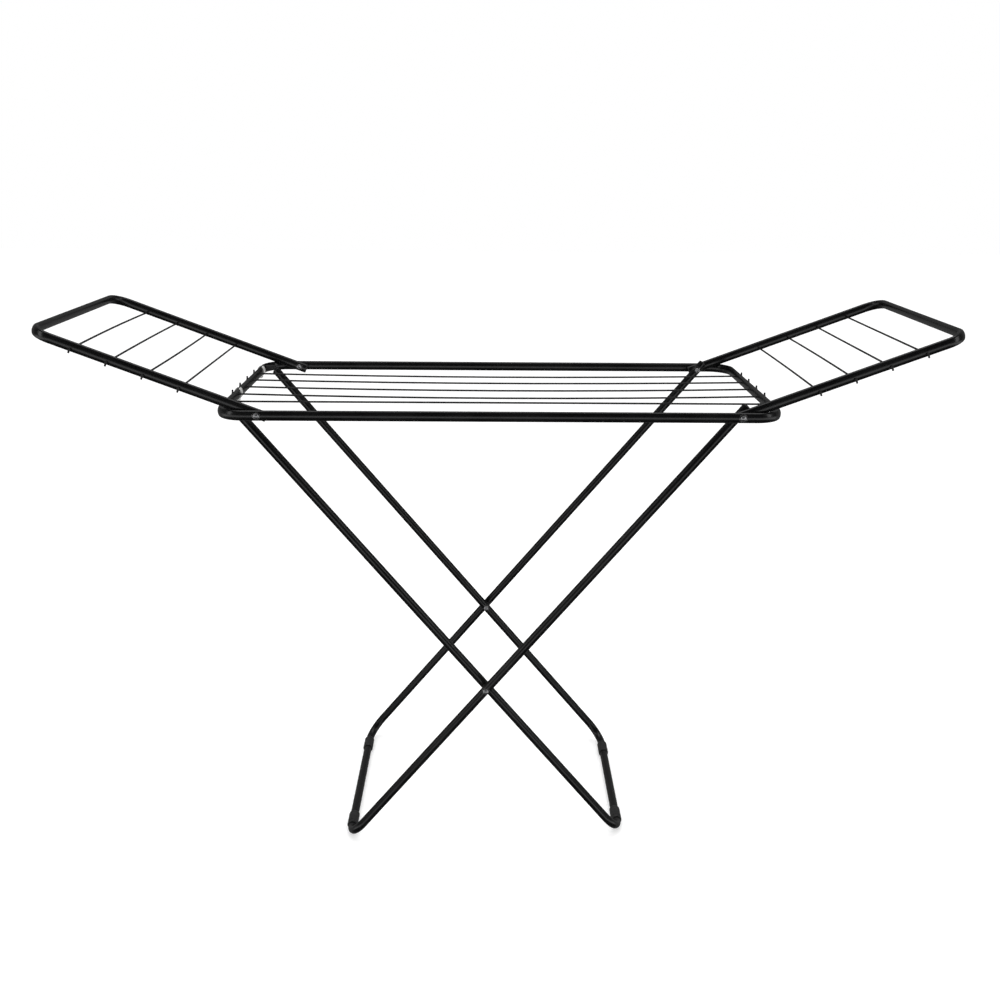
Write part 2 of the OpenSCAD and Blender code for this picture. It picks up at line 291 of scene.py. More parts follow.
@dataclass(frozen=True)
class PowderCoat:
    """Satin black powder coat on steel tube, with orange peel, handling marks and rubbed paint at the rivets."""

    black: Colour = (0.0015, 0.0015, 0.0017)
    worn_black: Colour = (0.0042, 0.0042, 0.0044)
    steel: Colour = (0.36, 0.355, 0.35)
    roughness: float = 0.21
    peel_mm: float = 1.5
    peel_depth_mm: float = 0.010

    def material(self, name: str, rubbed: Sequence[Point2] = (), butted: bool = False) -> bpy.types.Material:
        """Makes the material for one tube.

        Args:
            name: the material's name.
            rubbed: X and Z, in metres, of the rivet axes at which the paint has rubbed.
            butted: whether the tube butts against another at X = 0.

        Returns:
            The material.
        """
        material, shader = new_shader(name)
        at = shader.place()
        clouds = shader.noise(at, 95, 3)
        peel = shader.noise(at, self.peel_mm, 2, 0.45)
        marks_at = at.stretched((1.0, 0.16, 1.0))
        marks = shader.noise(marks_at, 2.3, 4, 0.62).step(0.66, 0.74) * clouds.step(0.42, 0.62)
        height = peel * 0.8 + clouds * 0.2 - marks * 0.5
        bare: Any = 0.0
        for x, z in rubbed:
            away = ((at.axis("X") - x) ** 2 + (at.axis("Z") - z) ** 2) ** 0.5
            ring = away.step(0.0088, 0.0068) * shader.noise(at, 1.8, 3, 0.6).step(0.55, 0.62)
            bare = ring + bare
        tone = clouds.step(0.35, 0.7).blend(self.black, self.worn_black)
        colour = (marks * 0.35).blend(tone, (0.03, 0.03, 0.03))
        rough = self.roughness + clouds * 0.07 + marks * 0.16
        metal: Any = 0.0
        if rubbed:
            colour = bare.at_most(1.0).blend(colour, self.steel)
            metal = bare.at_most(1.0)
            height = height - bare.at_most(1.0) * 2
        if butted:
            seam = abs(at.axis("X")).step(0.0006, 0.0001)
            colour = seam.blend(colour, (0.002, 0.002, 0.002))
            height = height - seam * 12
            rough = rough + seam * 0.3
        shader.surface(
            Base_Color=colour,
            Metallic=metal,
            Roughness=rough,
            Coat_Weight=0.0,
            Normal=shader.relief(height, self.peel_depth_mm),
        )
        return material


@dataclass(frozen=True)
class LineCoat:
    """Smooth plastic coat drawn over a steel line, with faint die marks along it."""

    dark: Colour = (0.003, 0.003, 0.0033)
    light: Colour = (0.007, 0.007, 0.0073)
    roughness: float = 0.4

    def material(self, name: str, run: Run) -> bpy.types.Material:
        """Makes the material.

        Args:
            name: its name.
            run: the direction of the line.

        Returns:
            The material.
        """
        material, shader = new_shader(name)
        at = shader.place()
        drawn = shader.noise(at.stretched(tuple(1 / f for f in run.value)), 0.5, 3, 0.55)
        clouds = shader.noise(at, 40, 2)
        shader.surface(
            Base_Color=(drawn * 0.5 + clouds * 0.5).step(0.35, 0.65).blend(self.dark, self.light),
            Roughness=self.roughness + drawn * 0.12,
            Normal=shader.relief(drawn * 0.7 + clouds * 0.3, 0.02),
        )
        return material


@dataclass(frozen=True)
class MouldedPlastic:
    """Moulded plastic with a spark-eroded grain, a parting line and scuffs."""

    dark: Colour = (0.008, 0.008, 0.0085)
    light: Colour = (0.017, 0.017, 0.0175)
    scuffed: Colour = (0.05, 0.049, 0.047)
    roughness: float = 0.46
    grain_mm: float = 0.35
    scuff: float = 0.5

    def material(self, name: str, sole: bool = False) -> bpy.types.Material:
        """Makes the material.

        Args:
            name: its name.
            sole: whether the piece's local +X side stands on the floor and is scuffed by it.

        Returns:
            The material.
        """
        material, shader = new_shader(name)
        at = shader.place()
        grain = shader.noise(at, self.grain_mm, 2, 0.6)
        clouds = shader.noise(at, 9, 3)
        parting = abs(at.axis("Y")).step(0.00028, 0.00008)
        scratches = shader.noise(at.stretched((1.0, 1.0, 0.12)), 1.1, 3, 0.6).step(0.6, 0.7) * self.scuff
        if sole:
            floor_side = at.axis("X").step(0.0085, 0.0108)
            scratches = scratches + floor_side * clouds.step(0.3, 0.6) * 0.7
        worn = scratches.at_most(1.0)
        shader.surface(
            Base_Color=(worn * 0.6).blend(clouds.step(0.3, 0.7).blend(self.dark, self.light), self.scuffed),
            Roughness=self.roughness + grain * 0.08 + worn * 0.2,
            Normal=shader.relief(grain * 0.5 + parting * 1.4 - worn * 0.4, 0.05),
        )
        return material


@dataclass(frozen=True)
class PlatedSteel:
    """Bright zinc-plated steel with turning marks round its axis and small dents."""

    bright: Colour = (0.46, 0.46, 0.47)
    dull: Colour = (0.22, 0.22, 0.22)
    roughness: float = 0.24

    def material(self, name: str) -> bpy.types.Material:
        """Makes the material for a piece whose local Z is its axis.

        Args:
            name: its name.

        Returns:
            The material.
        """
        material, shader = new_shader(name)
        at = shader.place()
        radius = (at.axis("X") ** 2 + at.axis("Y") ** 2) ** 0.5
        uneven = shader.noise(at, 2.2, 3)
        turned = (radius * (2 * math.pi / 0.00042) + uneven * 3.0).sine() * 0.5 + 0.5
        dents = shader.noise(at, 1.3, 2, 0.7).step(0.63, 0.72)
        shader.surface(
            Base_Color=(uneven * 0.6 + dents * 0.4).step(0.25, 0.75).blend(self.bright, self.dull),
            Metallic=1.0,
            Roughness=self.roughness + uneven * 0.14 + turned * 0.05,
            Normal=shader.relief(turned * 0.15 - dents * 0.6, 0.035),
        )
        return material


@dataclass(frozen=True)
class Finishes:
    """Every finish of the rack."""

    powder: PowderCoat = PowderCoat()
    line: LineCoat = LineCoat()
    plastic: MouldedPlastic = MouldedPlastic()
    foot: MouldedPlastic = MouldedPlastic(dark=(0.01, 0.01, 0.0105), light=(0.02, 0.02, 0.0205), roughness=0.5)
    clip: MouldedPlastic = MouldedPlastic(
        dark=(0.36, 0.36, 0.355), light=(0.47, 0.47, 0.46), scuffed=(0.24, 0.24, 0.235), roughness=0.32, scuff=0.2
    )
    steel: PlatedSteel = PlatedSteel()


# ---------------------------------------------------------------------------------------------------------
# Mesh making
# ---------------------------------------------------------------------------------------------------------


class Ends(Enum):
    """How a loft ends."""

    CAPPED = "capped"
    LOOPED = "looped"


def rounded(corners: Sequence[tuple[float, float, float]], closed: bool = False, steps: int = 4) -> list[Point2]:
    """Rounds the corners of an outline.

    Args:
        corners: each corner's two coordinates and how far before and after it the rounding reaches.
        closed: whether the last corner joins the first.
        steps: the number of segments in each rounding.

    Returns:
        The points of the rounded outline.
    """
    points: list[Point2] = []
    count = len(corners)
    for i, (a, b, reach) in enumerate(corners):
        corner = Vector((a, b))
        if not reach or (not closed and i in (0, count - 1)):
            points.append((a, b))
            continue
        before = Vector(corners[i - 1][:2])
        after = Vector(corners[(i + 1) % count][:2])
        start = corner + (before - corner).normalized() * reach
        end = corner + (after - corner).normalized() * reach
        for k in range(steps + 1):
            t = k / steps
            p = start * (1 - t) ** 2 + corner * (2 * t * (1 - t)) + end * t**2
            points.append((p.x, p.y))
    return points


def dome(radius: float, height: float, base: float, steps: int = 9) -> list[Point2]:
    """Outline of a domed end, from its rim to its top.

    Args:
        radius: its radius at the rim.
        height: its height.
        base: where it starts along the axis.
        steps: the number of segments.

    Returns:
        Radius and place along the axis of each point.
    """
    ball = (radius * radius + height * height) / (2 * height)
    half = math.asin(min(1.0, radius / ball))
    angles = [half * (1 - k / steps) for k in range(steps)] + [half * 0.35 / steps]
    return [(ball * math.sin(a), base + height - ball + ball * math.cos(a)) for a in angles]


def stand(origin: Sequence[float], axis: Sequence[float], ahead: Sequence[float], unit: float = MM) -> Matrix:
    """Place and attitude of a piece.

    Args:
        origin: the place of its own origin, in millimetres.
        axis: the direction of its own Z.
        ahead: the direction of its own X, which is made square to the axis.
        unit: what a millimetre is in the result.

    Returns:
        Its matrix, in metres unless the unit says otherwise.
    """
    z = Vector(axis).normalized()
    x = Vector(ahead)
    x = (x - z * x.dot(z)).normalized()
    turn = Matrix((x, z.cross(x), z)).transposed().to_4x4()
    return Matrix.Translation(Vector(origin) * unit) @ turn


@dataclass
class Shell:
    """A closed surface that is gathered ring by ring, in millimetres."""

    points: list[Vector] = field(default_factory=list)
    faces: list[tuple[int, ...]] = field(default_factory=list)

    def loft(self, rings: Sequence[Sequence[Sequence[float]]], ends: Ends = Ends.CAPPED) -> "Shell":
        """Adds a skin over rings that have the same number of points.

        Args:
            rings: the rings, each a closed row of points.
            ends: whether the first and last ring are capped or joined to each other.

        Returns:
            This shell.
        """
        first, count = len(self.points), len(rings[0])
        for ring in rings:
            self.points += [Vector(p) for p in ring]
        spans = len(rings) if ends is Ends.LOOPED else len(rings) - 1
        for i in range(spans):
            a, b = first + i * count, first + (i + 1) % len(rings) * count
            for k in range(count):
                m = (k + 1) % count
                self.faces.append((a + k, a + m, b + m, b + k))
        if ends is Ends.CAPPED:
            last = first + (len(rings) - 1) * count
            self.faces.append(tuple(range(first + count - 1, first - 1, -1)))
            self.faces.append(tuple(range(last, last + count)))
        return self

    def lathe(self, outline: Sequence[Point2], ends: Ends = Ends.CAPPED, steps: int = 56) -> "Shell":
        """Adds a turned body round Z.

        Args:
            outline: radius and place along Z of each point.
            ends: as for `loft`.
            steps: the number of segments round it.

        Returns:
            This shell.
        """
        turn = [2 * math.pi * k / steps for k in range(steps)]
        return self.loft([[(r * math.cos(t), r * math.sin(t), z) for t in turn] for r, z in outline], ends)

    def reshape(self, change: Callable[[Vector], Vector]) -> "Shell":
        """Moves every point as the function says."""
        self.points = [change(p) for p in self.points]
        return self

    def take(self, other: "Shell") -> None:
        """Adds the whole surface of another shell."""
        first = len(self.points)
        self.points += other.points
        self.faces += [tuple(first + i for i in face) for face in other.faces]

    def build(self, name: str, place: Matrix, sharp_deg: float = 38.0) -> bpy.types.Object:
        """Makes the object.

        Args:
            name: its name.
            place: its matrix.
            sharp_deg: edges that turn by more than this stay sharp.

        Returns:
            The object, linked to the scene.
        """
        mesh = bpy.data.meshes.new(name)
        maker = bmesh.new()
        verts = [maker.verts.new(p * MM) for p in self.points]
        for face in self.faces:
            maker.faces.new([verts[i] for i in face]).smooth = True
        bmesh.ops.remove_doubles(maker, verts=maker.verts, dist=1e-7)
        bmesh.ops.recalc_face_normals(maker, faces=maker.faces)
        for edge in maker.edges:
            if edge.is_manifold and edge.calc_face_angle() > math.radians(sharp_deg):
                edge.smooth = False
        maker.to_mesh(mesh)
        maker.free()
        piece = bpy.data.objects.new(name, mesh)
        bpy.context.scene.collection.objects.link(piece)
        piece.matrix_world = place
        return piece


def dress(piece: bpy.types.Object, material: bpy.types.Material) -> None:
    """Gives a piece one material all over."""
    piece.data.materials.clear()
    piece.data.materials.append(material)


def install(piece: bpy.types.Object, material: bpy.types.Material, body: str, slot: str, *nodes: str) -> None:
    """Finishes a new piece.

    Args:
        piece: the piece, already in place.
        material: its material.
        body: the CAD body that it rides on.
        slot: the record's material slot that it belongs to; not used.
        *nodes: the CAD nodes that it stands for.
    """
    dress(piece, material)
    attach(piece, body)
    if nodes:
        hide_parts(*nodes)
    LOG.info("%s: %d faces, on %s", piece.name, len(piece.data.polygons), body)


def dress_nodes(names: Iterable[str], material: bpy.types.Material) -> None:
    """Gives CAD nodes a material.

    Args:
        names: the nodes.
        material: the material.
    """
    for name in names:
        dress(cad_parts[name], material)
        LOG.info("%s: dressed in %s", name, material.name)


class Side(Enum):
    """The front or the back of the rack, as the sign of Y."""

    FRONT = -1
    BACK = 1

    @property
    def word(self) -> str:
        """The side's name as it stands in a piece's name."""
        return self.name.lower()


# ---------------------------------------------------------------------------------------------------------
# Details that several sub-assemblies have
# ---------------------------------------------------------------------------------------------------------


@dataclass(frozen=True)
class Tube:
    """The oval tube of frame and wings, crowned at its sides."""

    height: float = 20.0
    width: float = 12.0
    end_radius: float = 5.0
    wall: float = 0.9

    def outline(self, inset: float, steps: int = 10) -> list[Point2]:
        """Outline of the tube's section, of two small and two large arcs.

        Args:
            inset: how far the outline is drawn in all round.
            steps: the number of segments in each arc.

        Returns:
            The outline's points: across the tube, and up it.
        """
        r, rise = self.end_radius, self.height / 2 - self.end_radius
        side = (self.width**2 / 4 + rise**2 - r**2) / (self.width - 2 * r)
        away = side - self.width / 2
        lean = math.atan2(rise, away)
        flanks = [lean * (2 * k / steps - 1) for k in range(steps)]
        ends = [lean + (math.pi - 2 * lean) * k / steps for k in range(steps)]
        points = [((side - inset) * math.cos(t) - away, (side - inset) * math.sin(t)) for t in flanks]
        points += [((r - inset) * math.cos(t), rise + (r - inset) * math.sin(t)) for t in ends]
        return points + [(-x, -y) for x, y in points]


@dataclass(frozen=True)
class LineEnd:
    """End of a line outside a rail: a rounded boss, and a pin across it that keeps the line in its hole."""

    boss_radius: float = 3.0
    boss_length: float = 4.5
    pin_radius: float = 2.0

    def add(self, joined: Shell, place: Matrix, rise: float) -> None:
        """Adds one end to a shell that holds all the ends of a sub-assembly.

        Args:
            joined: that shell.
            place: the end's place in the shell, in millimetres, with +Z out of the rail and +X along the pin.
            rise: how far the pin's tip is from the line's axis.
        """
        b, p, out = self.boss_radius, self.pin_radius, self.boss_length
        boss = [
            (b - 0.4, 0.0, 0),
            (b, 0.0, 0.2),
            (b, 1.1, 0.2),
            (b - 0.2, 1.4, 0.2),
            (b - 0.2, out, 1.3),
            (0.4, out, 0),
        ]
        pin = [(p, 0.0, 0), (p, 3.4, 0.1), (p - 0.15, 3.7, 0.1), (p - 0.15, rise, 1.1), (0.3, rise, 0)]
        across = Shell().lathe(rounded(pin), steps=20).reshape(lambda v: Vector((v.z, v.y, out / 2 - v.x)))
        joined.take(Shell().lathe(rounded(boss), steps=28).reshape(lambda v: place @ v))
        joined.take(across.reshape(lambda v: place @ v))


@dataclass(frozen=True)
class Rivet:
    """Semi-tubular rivet: a domed head on a thin rim outside, a shank, and a rolled end inside."""

    head_radius: float = 5.5
    head_height: float = 3.0
    shank_radius: float = 3.0
    rolled_height: float = 2.2

    def shell(self, grip: float) -> Shell:
        """Makes a rivet along Z with the underside of its head at Z = 0.

        Args:
            grip: the length of shank between the two heads.

        Returns:
            The shell.
        """
        r, s, h = self.head_radius, self.shank_radius, self.rolled_height
        rim = 0.45
        head = [(0.25, self.head_height)] + dome(r - 0.25, self.head_height - rim, rim)[::-1][1:]
        under = rounded([(r, rim, 0), (r, 0.0, 0.2), (s, 0.0, 0), (s, -grip, 0)])
        end = -grip
        rolled = rounded(
            [
                (s, end, 0),
                (r - 0.4, end, 0.2),
                (r - 0.2, end - h * 0.35, 0.5),
                (r - 1.2, end - h, 1.2),
                (s - 0.6, end - h * 0.85, 0.7),
                (s - 1.0, end + 2.0, 0),
            ]
        )
        return Shell().lathe(head + under + rolled[1:])


@dataclass(frozen=True)
class Washer:
    """Flat plastic washer with eased edges round a rivet."""

    radius: float = 8.0
    bore: float = 3.02

    def shell(self, thickness: float) -> Shell:
        """Makes a washer along Z that starts at Z = 0.

        Args:
            thickness: its thickness.

        Returns:
            The shell.
        """
        ease = 0.3
        corners = [
            (self.bore, 0.0, 0.15),
            (self.radius, 0.0, ease),
            (self.radius, thickness, ease),
            (self.bore, thickness, 0.15),
        ]
        return Shell().lathe(rounded(corners, closed=True), Ends.LOOPED)


# ---------------------------------------------------------------------------------------------------------
# Sub-assemblies
# ---------------------------------------------------------------------------------------------------------


@dataclass
class CentralFrame:
    """The two tube halves of the central frame, their joining sleeves, the five lines and the rail clips."""

    finishes: Finishes
    tube: Tube = Tube()
    line_end: LineEnd = LineEnd()
    half_length: float = 544.0
    rail_height: float = 945.0
    pivot_x: float = 461.0
    line_count: int = 5
    line_pitch: float = 75.0
    line_rise: float = 2.0
    end_rise: float = 8.5
    clip_width: float = 16.0
    clip_thickness: float = 1.6
    clip_slot: float = 4.0
    clip_lug: float = 4.0
    clip_places: tuple[float, ...] = (-57.0, 192.0)

    def build(self) -> None:
        """Dresses the CAD nodes and makes the new pieces."""
        self.dress_tubes()
        self.make_line_ends()
        for number, y in enumerate(self.clip_places, 1):
            self.make_clip(number, y)

    def dress_tubes(self) -> None:
        """Gives tubes, sleeves and lines their finishes."""
        z = self.rail_height * MM
        for half, sign in (("frame_left", -1), ("frame_right", 1)):
            coat = self.finishes.powder.material(
                f"powder_coat_{half}", rubbed=[(sign * self.pivot_x * MM, z)], butted=True
            )
            dress_nodes([half], coat)
        dress_nodes(["frame_sleeves"], self.finishes.steel.material("sleeve_steel"))
        coat = self.finishes.line.material("line_coat_centre", Run.ALONG_RACK)
        dress_nodes([f"centre_line_{i + 1}" for i in range(self.line_count)], coat)

    def make_line_ends(self) -> None:
        """Makes the lines' bent ends outside both end rails, which point up."""
        ends = Shell()
        for sign in (-1, 1):
            for i in range(self.line_count):
                y = ((self.line_count - 1) / 2 - i) * self.line_pitch
                origin = (sign * self.half_length, y, self.rail_height + self.line_rise)
                self.line_end.add(ends, stand(origin, (sign, 0, 0), (0, 0, 1), 1.0), self.end_rise)
        piece = ends.build("line_ends_centre", Matrix.Identity(4))
        coat = self.finishes.line.material("line_end_coat_centre", Run.ALONG_RACK)
        install(piece, coat, "frame", "coated_line", "centre_line_ends")

    def make_clip(self, number: int, y: float) -> None:
        """Makes one clip that is snapped round the left end rail, with eased edges, a slot on top and a lug below.

        Args:
            number: the clip's number, from the front.
            y: the middle of the clip.
        """
        gap = 0.05
        outer = self.tube.outline(-self.clip_thickness - gap, 12)
        inner = self.tube.outline(-gap, 12)
        slot = self.clip_slot / 2
        top = self.tube.height / 2 - 3

        def opened(outline: list[Point2]) -> list[Point2]:
            """The outline from one side of the slot round to the other."""
            start = next(i for i, (x, z) in enumerate(outline) if x < -slot and z > top)
            turned = outline[start:] + outline[:start]
            return [p for p in turned if not (abs(p[0]) <= slot and p[1] > top)]

        out, into = opened(outer), opened(inner)
        section = [(x, z) for x, z in out] + [(x, z) for x, z in reversed(into)]
        half, ease = self.clip_width / 2, 0.35
        middle = [Vector(((a[0] + b[0]) / 2, (a[1] + b[1]) / 2)) for a, b in zip(section, reversed(section))]
        rings = []
        for along, inset in ((-half, ease), (-half + ease, 0.0), (half - ease, 0.0), (half, ease)):
            ring = []
            for p, m in zip(section, middle):
                v = Vector(p)
                d = m - v
                v = v + d.normalized() * min(inset, d.length * 0.8) if d.length > 1e-6 else v
                ring.append((v.x, v.y, along))
            rings.append(ring)
        lug, low = self.clip_lug / 2, -self.tube.height / 2 - self.clip_thickness
        bottom = low - self.clip_lug
        corners = [(-lug, bottom, 0.6), (lug, bottom, 0.6), (lug, low + 0.8, 0), (-lug, low + 0.8, 0)]
        profile = rounded(corners, closed=True)
        levels = ((-half, 0.85), (-half + ease, 1.0), (half - ease, 1.0), (half, 0.85))
        stub = [[(x * f, low + (z - low) * f, along) for x, z in profile] for along, f in levels]
        place = stand((-self.half_length + self.tube.width / 2, y, self.rail_height), (0, -1, 0), (1, 0, 0))
        piece = Shell().loft(rings).loft(stub).build(f"rail_clip_{number}", place)
        plastic = self.finishes.clip.material(f"clip_plastic_{number}")
        install(piece, plastic, "frame", "clear_grey_plastic", "rail_clips")


@dataclass
class Wing:
    """A folding wing: its bent tube, its four lines with their ends, and the plugs in the tube's ends."""

    finishes: Finishes
    name: str
    sign: int
    tube: Tube = Tube()
    line_end: LineEnd = LineEnd()
    pivot_x: float = 461.0
    pivot_z: float = 945.0
    slope_deg: float = 20.5
    tail: float = 15.0
    arm_y: float = 253.9
    first_line: float = 153.0
    line_pitch: float = 70.0
    line_drop: float = 5.0
    line_count: int = 4
    end_rise: float = 7.2
    plug_flange: float = 2.0
    plug_depth: float = 8.0

    @property
    def body(self) -> str:
        """The CAD body of this wing."""
        return f"wing_{self.name}"

    def at(self, along: float, across: float, up: float) -> Vector:
        """Millimetre place of a point given along, across and square to the wing, from its pivot."""
        a = math.radians(self.slope_deg)
        x = self.pivot_x + along * math.cos(a) - up * math.sin(a)
        return Vector((self.sign * x, across, self.pivot_z + along * math.sin(a) + up * math.cos(a)))

    def build(self) -> None:
        """Dresses the CAD nodes and makes the new pieces."""
        pivot = (self.sign * self.pivot_x * MM, self.pivot_z * MM)
        coat = self.finishes.powder.material(f"powder_coat_{self.body}", rubbed=[pivot])
        dress_nodes([f"{self.body}_tube"], coat)
        coat = self.finishes.line.material(f"line_coat_{self.name}", Run.ACROSS_RACK)
        dress_nodes([f"{self.body}_line_{i + 1}" for i in range(self.line_count)], coat)
        self.make_line_ends()
        for side in Side:
            self.make_plug(side)

    def make_line_ends(self) -> None:
        """Makes the lines' bent ends outside both arms, which point down."""
        ends = Shell()
        outer = self.arm_y + self.tube.width / 2
        down = self.at(0, 0, 0) - self.at(0, 0, 1)
        for side in Side:
            for i in range(self.line_count):
                origin = self.at(self.first_line + i * self.line_pitch, side.value * outer, -self.line_drop)
                self.line_end.add(ends, stand(origin, (0, side.value, 0), down, 1.0), self.end_rise)
        piece = ends.build(f"line_ends_{self.name}", Matrix.Identity(4))
        coat = self.finishes.line.material(f"line_end_coat_{self.name}", Run.ACROSS_RACK)
        install(piece, coat, self.body, "coated_line", f"{self.body}_ends")

    def make_plug(self, side: Side) -> None:
        """Makes the moulded plug in the open end of one arm, with a dished flange.

        Args:
            side: the arm.
        """
        f, wall = self.plug_flange, self.tube.wall
        levels = [
            (wall + 0.6, -self.plug_depth),
            (wall + 0.05, -self.plug_depth + 1.5),
            (wall + 0.05, 0.0),
            (0.0, 0.0),
            (0.0, f - 0.9),
            (0.12, f - 0.45),
            (0.45, f - 0.12),
            (0.9, f),
            (1.7, f),
            (2.0, f - 0.15),
            (2.4, f - 0.6),
            (3.2, f - 0.75),
        ]
        rings = [[(x, y, z) for x, y in self.tube.outline(inset)] for inset, z in levels]
        a = math.radians(self.slope_deg)
        outward = (-self.sign * math.cos(a), 0.0, -math.sin(a))
        place = stand(self.at(-self.tail, side.value * self.arm_y, 0.0), outward, (0, 1, 0))
        piece = Shell().loft(rings).build(f"wing_plug_{self.name}_{side.word}", place)
        plastic = self.finishes.plastic.material(f"plug_plastic_{self.name}_{side.word}")
        install(piece, plastic, self.body, "black_plastic", f"{self.body}_plugs")


@dataclass
class LegFrame:
    """A folding leg frame: its bent round tube and the two sleeves that it stands on."""

    finishes: Finishes
    letter: str
    sign: int
    pins: Sequence[Point2]
    half_width: float
    upper: float
    tube_d: float = 18.0
    wall: float = 0.9
    slope_deg: float = 50.25
    cross_x: float = -25.207
    cross_z: float = 360.4
    bend: float = 46.0
    foot_d: float = 23.0
    foot_length: float = 44.0
    sole_depth: float = 0.5

    @property
    def body(self) -> str:
        """The CAD body of this leg frame."""
        return f"leg_{self.letter}"

    def at(self, along: float, across: float) -> Vector:
        """Millimetre place of a point on a leg's centre line, given from the crossing upwards."""
        a = math.radians(self.slope_deg)
        return Vector((self.cross_x + self.sign * along * math.cos(a), across, self.cross_z + along * math.sin(a)))

    @property
    def upward(self) -> Vector:
        """Direction of a leg, towards its top."""
        a = math.radians(self.slope_deg)
        return Vector((self.sign * math.cos(a), 0.0, math.sin(a)))

    def build(self) -> None:
        """Dresses the tube and makes feet and tops."""
        coat = self.finishes.powder.material(
            f"powder_coat_{self.body}", rubbed=[(x * MM, z * MM) for x, z in self.pins]
        )
        dress_nodes([f"{self.body}_tube"], coat)
        for side in Side:
            self.make_foot(side)
            self.make_top(side)

    def plug_outline(self) -> list[Point2]:
        """Outline of the domed plug in the top of a leg."""
        inner = self.tube_d / 2 - self.wall - 0.05
        rim = self.tube_d / 2
        outline = rounded([(inner - 0.6, -8.0, 0), (inner, -6.5, 0.4), (inner, 0.0, 0), (rim - 0.05, 0.0, 0)])
        return outline + [(rim, 0.15), (rim, 0.5)] + dome(rim - 0.1, 2.4, 0.6)

    def make_top(self, side: Side) -> None:
        """Makes the plug in the top of one leg.

        Args:
            side: the leg.
        """
        place = stand(self.at(self.upper, side.value * self.half_width), self.upward, (0, 1, 0))
        piece = Shell().lathe(self.plug_outline()).build(f"leg_plug_{side.word}", place)
        plastic = self.finishes.plastic.material(f"leg_plug_plastic_{side.word}")
        install(piece, plastic, self.body, "black_plastic", f"{self.body}_plugs")

    def make_foot(self, side: Side) -> None:
        """Makes one foot sleeve: grooved near both ends, eased at its rims, and flat under the bar.

        Args:
            side: the end of the crossbar.
        """
        outer, bore, length = self.foot_d / 2, self.tube_d / 2 + 0.05, self.foot_length
        groove, deep = 5.5, 0.7
        half = [
            (bore, 0.0, 0.25),
            (outer - 0.7, 0.0, 0.6),
            (outer, 1.8, 0.8),
            (outer, groove, 0.25),
            (outer - deep, groove + 0.5, 0.25),
            (outer - deep, groove + 1.5, 0.25),
            (outer, groove + 2.0, 0.25),
        ]
        other_half = [(r, length - z, reach) for r, z, reach in reversed(half)]
        outline = rounded(half + other_half, closed=True)
        axis_z = outer - self.sole_depth
        low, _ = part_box(f"{self.body}_feet")
        bar_x = (low.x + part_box(f"{self.body}_feet")[1].x) / 2 / MM
        start = side.value * (self.half_width - self.bend)
        place = stand((bar_x, start, axis_z), (0, -side.value, 0), (0, 0, -1))
        shell = Shell().lathe(outline, Ends.LOOPED, 72)
        shell.reshape(lambda p: Vector((min(p.x, axis_z), p.y, p.z)))
        piece = shell.build(f"foot_{self.letter}_{side.word}", place)
        plastic = self.finishes.foot.material(f"foot_plastic_{self.letter}_{side.word}", sole=True)
        install(piece, plastic, self.body, "foot_plastic", f"{self.body}_feet")


@dataclass
class SeatedLegFrame(LegFrame):
    """The leg frame whose tops bear on the left end rail through seat caps."""

    nose_width: float = 10.0
    nose_height: float = 11.0
    nose_tip_x: float = -531.3

    def make_top(self, side: Side) -> None:
        """Makes the seat cap of one leg: a domed plug with a rounded nose that points at the end rail.

        Args:
            side: the leg.
        """
        y = side.value * self.half_width
        top = self.at(self.upper, y)
        place = stand(top, self.upward, (0, 1, 0))
        cap = Shell().lathe(self.plug_outline()).build(f"leg_seat_{side.word}", place)
        w, h, ease = self.nose_width / 2, self.nose_height, 1.4
        face = rounded([(-w, 0.0, ease), (w, 0.0, ease), (w, h, ease), (-w, h, ease)], closed=True)
        reach = top.x - self.nose_tip_x
        rings = []
        for out, shrink in ((0.0, 0.0), (reach - 1.2, 0.0), (reach - 0.35, 0.35), (reach, 1.2)):
            ring = []
            for u, v in face:
                ring.append((u * (1 - shrink / w), h / 2 + (v - h / 2) * (1 - 2 * shrink / h), out))
            rings.append(ring)
        nose_place = stand((top.x, y, top.z), (-1, 0, 0), (0, 1, 0))
        flip = -1 if (nose_place.to_3x3() @ Vector((0, 1, 0))).z < 0 else 1
        nose = Shell().loft(rings).reshape(lambda p: Vector((p.x, flip * p.y, p.z))).build("nose", nose_place)
        union = cap.modifiers.new("union", "BOOLEAN")
        union.operation, union.solver, union.object = "UNION", "EXACT", nose
        bpy.context.view_layer.update()
        joined = bpy.data.meshes.new_from_object(cap.evaluated_get(bpy.context.evaluated_depsgraph_get()))
        cap.modifiers.clear()
        cap.data = joined
        bpy.data.objects.remove(nose)
        plastic = self.finishes.plastic.material(f"leg_seat_plastic_{side.word}")
        install(cap, plastic, self.body, "black_plastic", f"{self.body}_seats")


